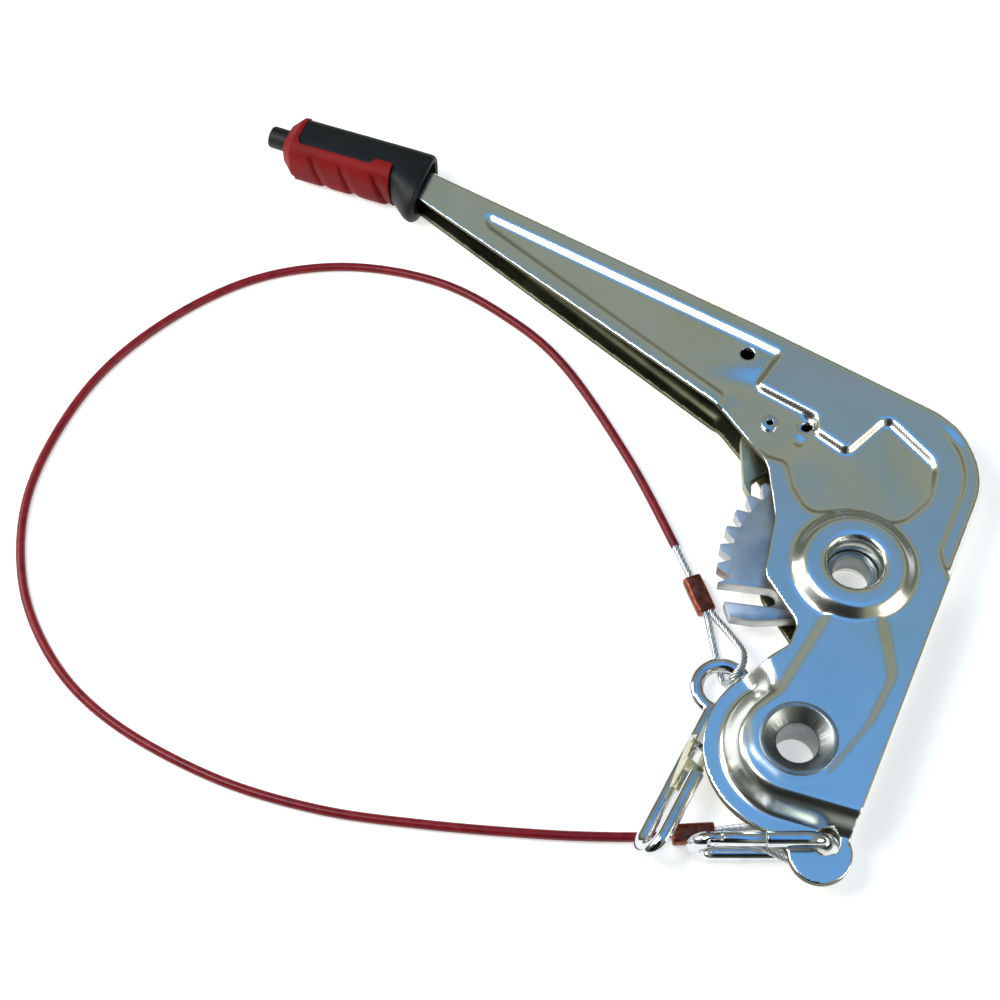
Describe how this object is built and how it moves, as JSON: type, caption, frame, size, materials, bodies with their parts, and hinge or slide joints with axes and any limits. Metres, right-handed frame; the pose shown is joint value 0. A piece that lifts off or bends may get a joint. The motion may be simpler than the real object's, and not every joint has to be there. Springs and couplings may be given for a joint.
{
  "type": "parking brake lever",
  "caption": "Trailer hand brake lever of two pressed halves with a ratchet quadrant, push-button grip and a red breakaway cable with hooks.",
  "frame": {"origin": "middle of the pivot bore, in the seam between the two pressed halves", "axes": "+Z along the pivot bore, up from the table; +X to the right and +Y away in the picture"},
  "size_m": [0.5121, 0.4738, 0.036],
  "materials": {
    "zinc_sheet": "zinc-plated, blue passivated pressed sheet",
    "plain_steel": "zinc-plated stamped steel",
    "black_plastic": "black moulded plastic",
    "red_soft_plastic": "soft red moulded pad",
    "bright_zinc": "bright zinc-plated wire",
    "yellow_zinc": "yellow passivated sheet",
    "red_pvc": "red PVC sheath",
    "wire_rope": "galvanised wire rope",
    "copper": "copper crimp sleeve"
  },
  "bodies": {
    "lever": {"front_shell": "zinc_sheet", "rear_shell": "zinc_sheet", "pivot_bush": "plain_steel", "link_bush": "zinc_sheet", "pawl_pin": "zinc_sheet", "spacer_front": "plain_steel", "spacer_rear": "plain_steel", "pawl_spring": "plain_steel", "button_spring": "plain_steel", "grip_core": "black_plastic", "grip_pad": "red_soft_plastic", "grip_pin": "plain_steel", "snap_hook": "bright_zinc", "snap_gate_pin": "bright_zinc", "link_hook": "bright_zinc", "link_gate_pin": "bright_zinc", "cable_sheath": "red_pvc", "rope_a": "wire_rope", "ferrule_a": "copper", "rope_b": "wire_rope", "ferrule_b": "copper"},
    "quadrant": {"toothed_quadrant": "plain_steel"},
    "pawl_body": {"pawl": "plain_steel"},
    "button": {"push_button": "black_plastic", "release_rod": "plain_steel"},
    "snap_latch": {"snap_gate": "yellow_zinc"},
    "link_latch": {"link_gate": "bright_zinc"}
  },
  "joints": [
    {"name": "lever_pivot", "type": "hinge", "parent": "lever", "child": "quadrant", "pos_m": [0, 0, 0], "axis": [0, 0, 1], "range_deg": [-38, 28.5]},
    {"name": "button_press", "type": "slide", "parent": "lever", "child": "button", "axis": [0.9336, -0.3584, 0], "range_m": [-0.003, 0.006], "stiffness_N_per_m": 600},
    {"name": "pawl_swing", "type": "hinge", "parent": "lever", "child": "pawl_body", "pos_m": [-0.037, 0.088, 0], "axis": [0, 0, 1], "range_deg": [-13.5, 6.8]},
    {"name": "snap_gate_swing", "type": "hinge", "parent": "lever", "child": "snap_latch", "pos_m": [-0.08195, -0.09151, -0.00348], "axis": [-0.7146, 0.4003, 0.5736], "range_deg": [-12, 0], "stiffness_Nm_per_rad": 0.05},
    {"name": "link_gate_swing", "type": "hinge", "parent": "lever", "child": "link_latch", "pos_m": [-0.07795, -0.1435, 0.00595], "axis": [0, 1, 0], "range_deg": [0, 14], "stiffness_Nm_per_rad": 0.05}
  ],
  "couplings": [
    {"joint": "pawl_swing", "follows": "button_press", "rad_per_m": -38.462}
  ]
}
